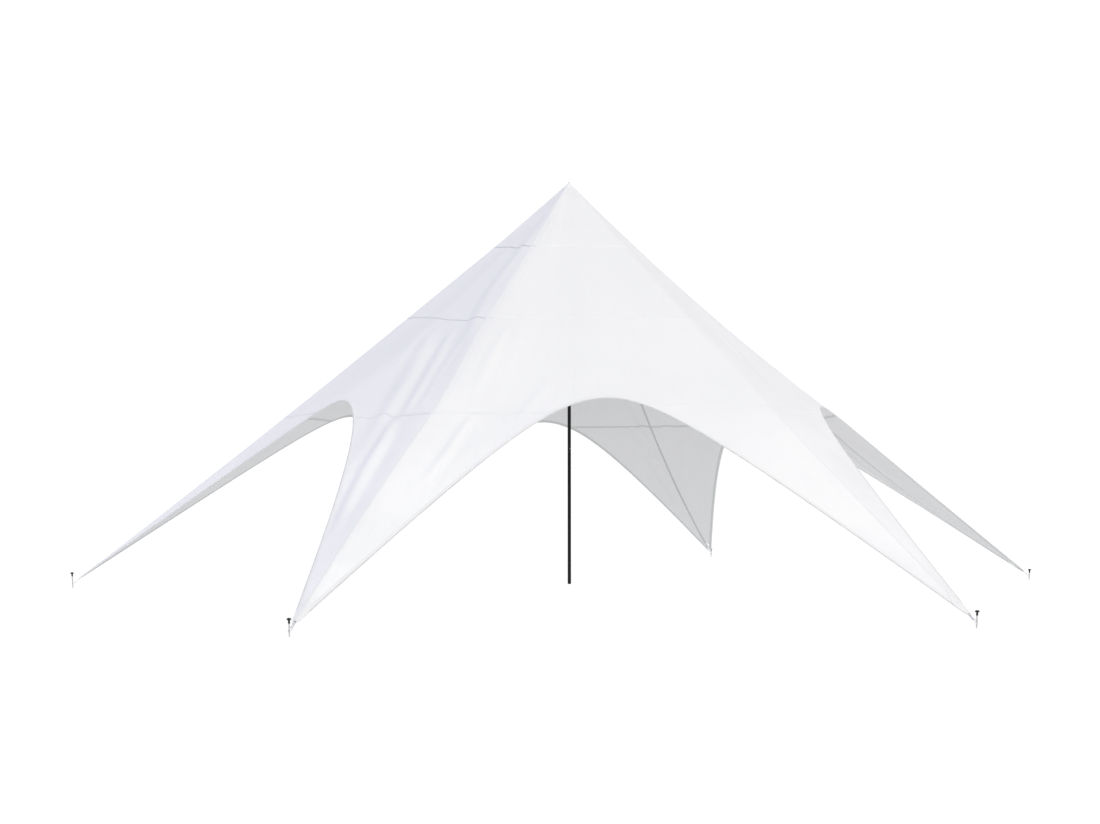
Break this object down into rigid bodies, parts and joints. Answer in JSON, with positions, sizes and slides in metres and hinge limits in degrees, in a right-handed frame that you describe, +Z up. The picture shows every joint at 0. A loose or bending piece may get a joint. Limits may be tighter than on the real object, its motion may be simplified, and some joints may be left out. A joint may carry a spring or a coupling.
{
  "type": "star tent",
  "caption": "Star-shaped canopy on one centre pole, with arched openings between arms that run down to ground pegs.",
  "frame": {"origin": "middle of the centre pole's foot, on the ground", "axes": "+Z up along the pole, +X along one arm of the canopy to its peg, +Y over the middle of an arch"},
  "size_m": [11.9337, 10.3398, 5.0047],
  "materials": {
    "canopy_cloth": "coated polyester, soft sheen",
    "webbing": "woven polyester webbing, matte",
    "pole_black": "powder coated, satin",
    "galvanised_steel": "galvanised, dull",
    "black_plastic": "moulded, matte"
  },
  "bodies": {
    "root": {"canopy_top_1": "canopy_cloth", "canopy_top_2": "canopy_cloth", "canopy_top_3": "canopy_cloth", "canopy_top_4": "canopy_cloth", "canopy_top_5": "canopy_cloth", "canopy_top_6": "canopy_cloth", "canopy_middle_1": "canopy_cloth", "canopy_middle_2": "canopy_cloth", "canopy_middle_3": "canopy_cloth", "canopy_middle_4": "canopy_cloth", "canopy_middle_5": "canopy_cloth", "canopy_middle_6": "canopy_cloth", "canopy_lower_1": "canopy_cloth", "canopy_lower_2": "canopy_cloth", "canopy_lower_3": "canopy_cloth", "canopy_lower_4": "canopy_cloth", "canopy_lower_5": "canopy_cloth", "canopy_lower_6": "canopy_cloth", "canopy_arm_1": "canopy_cloth", "canopy_arm_2": "canopy_cloth", "canopy_arm_3": "canopy_cloth", "canopy_arm_4": "canopy_cloth", "canopy_arm_5": "canopy_cloth", "canopy_arm_6": "canopy_cloth", "edge_webbing_1": "webbing", "edge_webbing_2": "webbing", "edge_webbing_3": "webbing", "edge_webbing_4": "webbing", "edge_webbing_5": "webbing", "edge_webbing_6": "webbing", "tip_strap_1": "webbing", "tip_strap_2": "webbing", "tip_strap_3": "webbing", "tip_strap_4": "webbing", "tip_strap_5": "webbing", "tip_strap_6": "webbing", "peg_1": "galvanised_steel", "peg_2": "galvanised_steel", "peg_3": "galvanised_steel", "peg_4": "galvanised_steel", "peg_5": "galvanised_steel", "peg_6": "galvanised_steel", "peg_cap_1": "black_plastic", "peg_cap_2": "black_plastic", "peg_cap_3": "black_plastic", "peg_cap_4": "black_plastic", "peg_cap_5": "black_plastic", "peg_cap_6": "black_plastic", "crown_cap": "canopy_cloth", "pole": "pole_black", "pole_head": "black_plastic"}
  },
  "joints": []
}
